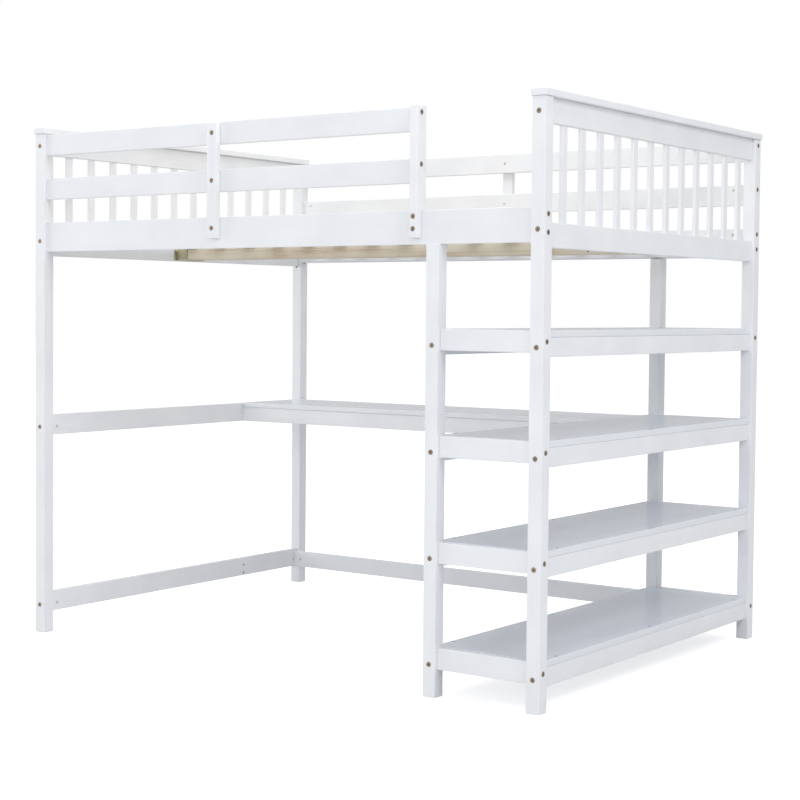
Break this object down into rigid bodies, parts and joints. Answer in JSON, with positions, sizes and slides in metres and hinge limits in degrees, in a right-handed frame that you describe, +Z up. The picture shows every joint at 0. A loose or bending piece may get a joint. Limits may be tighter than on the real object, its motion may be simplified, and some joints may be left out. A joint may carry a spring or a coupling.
{
  "type": "loft bed with desk",
  "caption": "Raised full-size bed on square posts with slatted end panels, guard boards, a desk along the back and an open shelf unit whose front treads form the ladder.",
  "frame": {"origin": "middle of the bounding box at floor level", "axes": "+X along the bed from the desk end to the shelf and ladder end, +Y from the ladder side to the wall side, +Z up"},
  "size_m": [2.019, 1.467, 1.727],
  "materials": {
    "painted_wood": "white satin paint on solid softwood",
    "painted_panel": "smooth semi-gloss white paint on board",
    "pine": "bare sawn pine",
    "zinc_steel": "yellow zinc-plated sheet steel"
  },
  "bodies": {
    "root": {"post_front_left": "painted_wood", "post_back_left": "painted_wood", "post_front_right": "painted_wood", "post_back_right": "painted_wood", "post_front_inner": "painted_wood", "post_back_inner": "painted_wood", "cap_left": "painted_wood", "cap_right": "painted_wood", "end_panel_left": "painted_wood", "end_panel_right": "painted_wood", "side_rail_front": "painted_wood", "side_rail_back": "painted_wood", "guard_front_upper": "painted_wood", "guard_front_lower": "painted_wood", "guard_back_upper": "painted_wood", "guard_back_lower": "painted_wood", "guard_brace_front": "painted_wood", "guard_brace_back": "painted_wood", "entry_post": "painted_wood", "ladder_tread_1": "painted_wood", "shelf_rail_left_1": "painted_wood", "shelf_rail_right_1": "painted_wood", "ladder_tread_2": "painted_wood", "shelf_rail_left_2": "painted_wood", "shelf_rail_right_2": "painted_wood", "ladder_tread_3": "painted_wood", "shelf_rail_left_3": "painted_wood", "shelf_rail_right_3": "painted_wood", "ladder_tread_4": "painted_wood", "shelf_rail_left_4": "painted_wood", "shelf_rail_right_4": "painted_wood", "shelf_rail_back_1": "painted_wood", "shelf_rail_back_4": "painted_wood", "desk_apron_front": "painted_wood", "desk_apron_back": "painted_wood", "end_rail_middle": "painted_wood", "end_rail_low": "painted_wood", "back_stretcher": "painted_wood", "shelf_1": "painted_panel", "shelf_2": "painted_panel", "shelf_3": "painted_panel", "shelf_4": "painted_panel", "desk_top": "painted_panel", "centre_beam": "pine", "bed_slat_01": "pine", "bed_slat_02": "pine", "bed_slat_03": "pine", "bed_slat_04": "pine", "bed_slat_05": "pine", "bed_slat_06": "pine", "bed_slat_07": "pine", "bed_slat_08": "pine", "bed_slat_09": "pine", "bed_slat_10": "pine", "bed_slat_11": "pine", "bed_slat_12": "pine", "bed_slat_13": "pine", "bed_slat_14": "pine", "beam_bracket_left": "zinc_steel", "beam_bracket_right": "zinc_steel"}
  },
  "joints": []
}
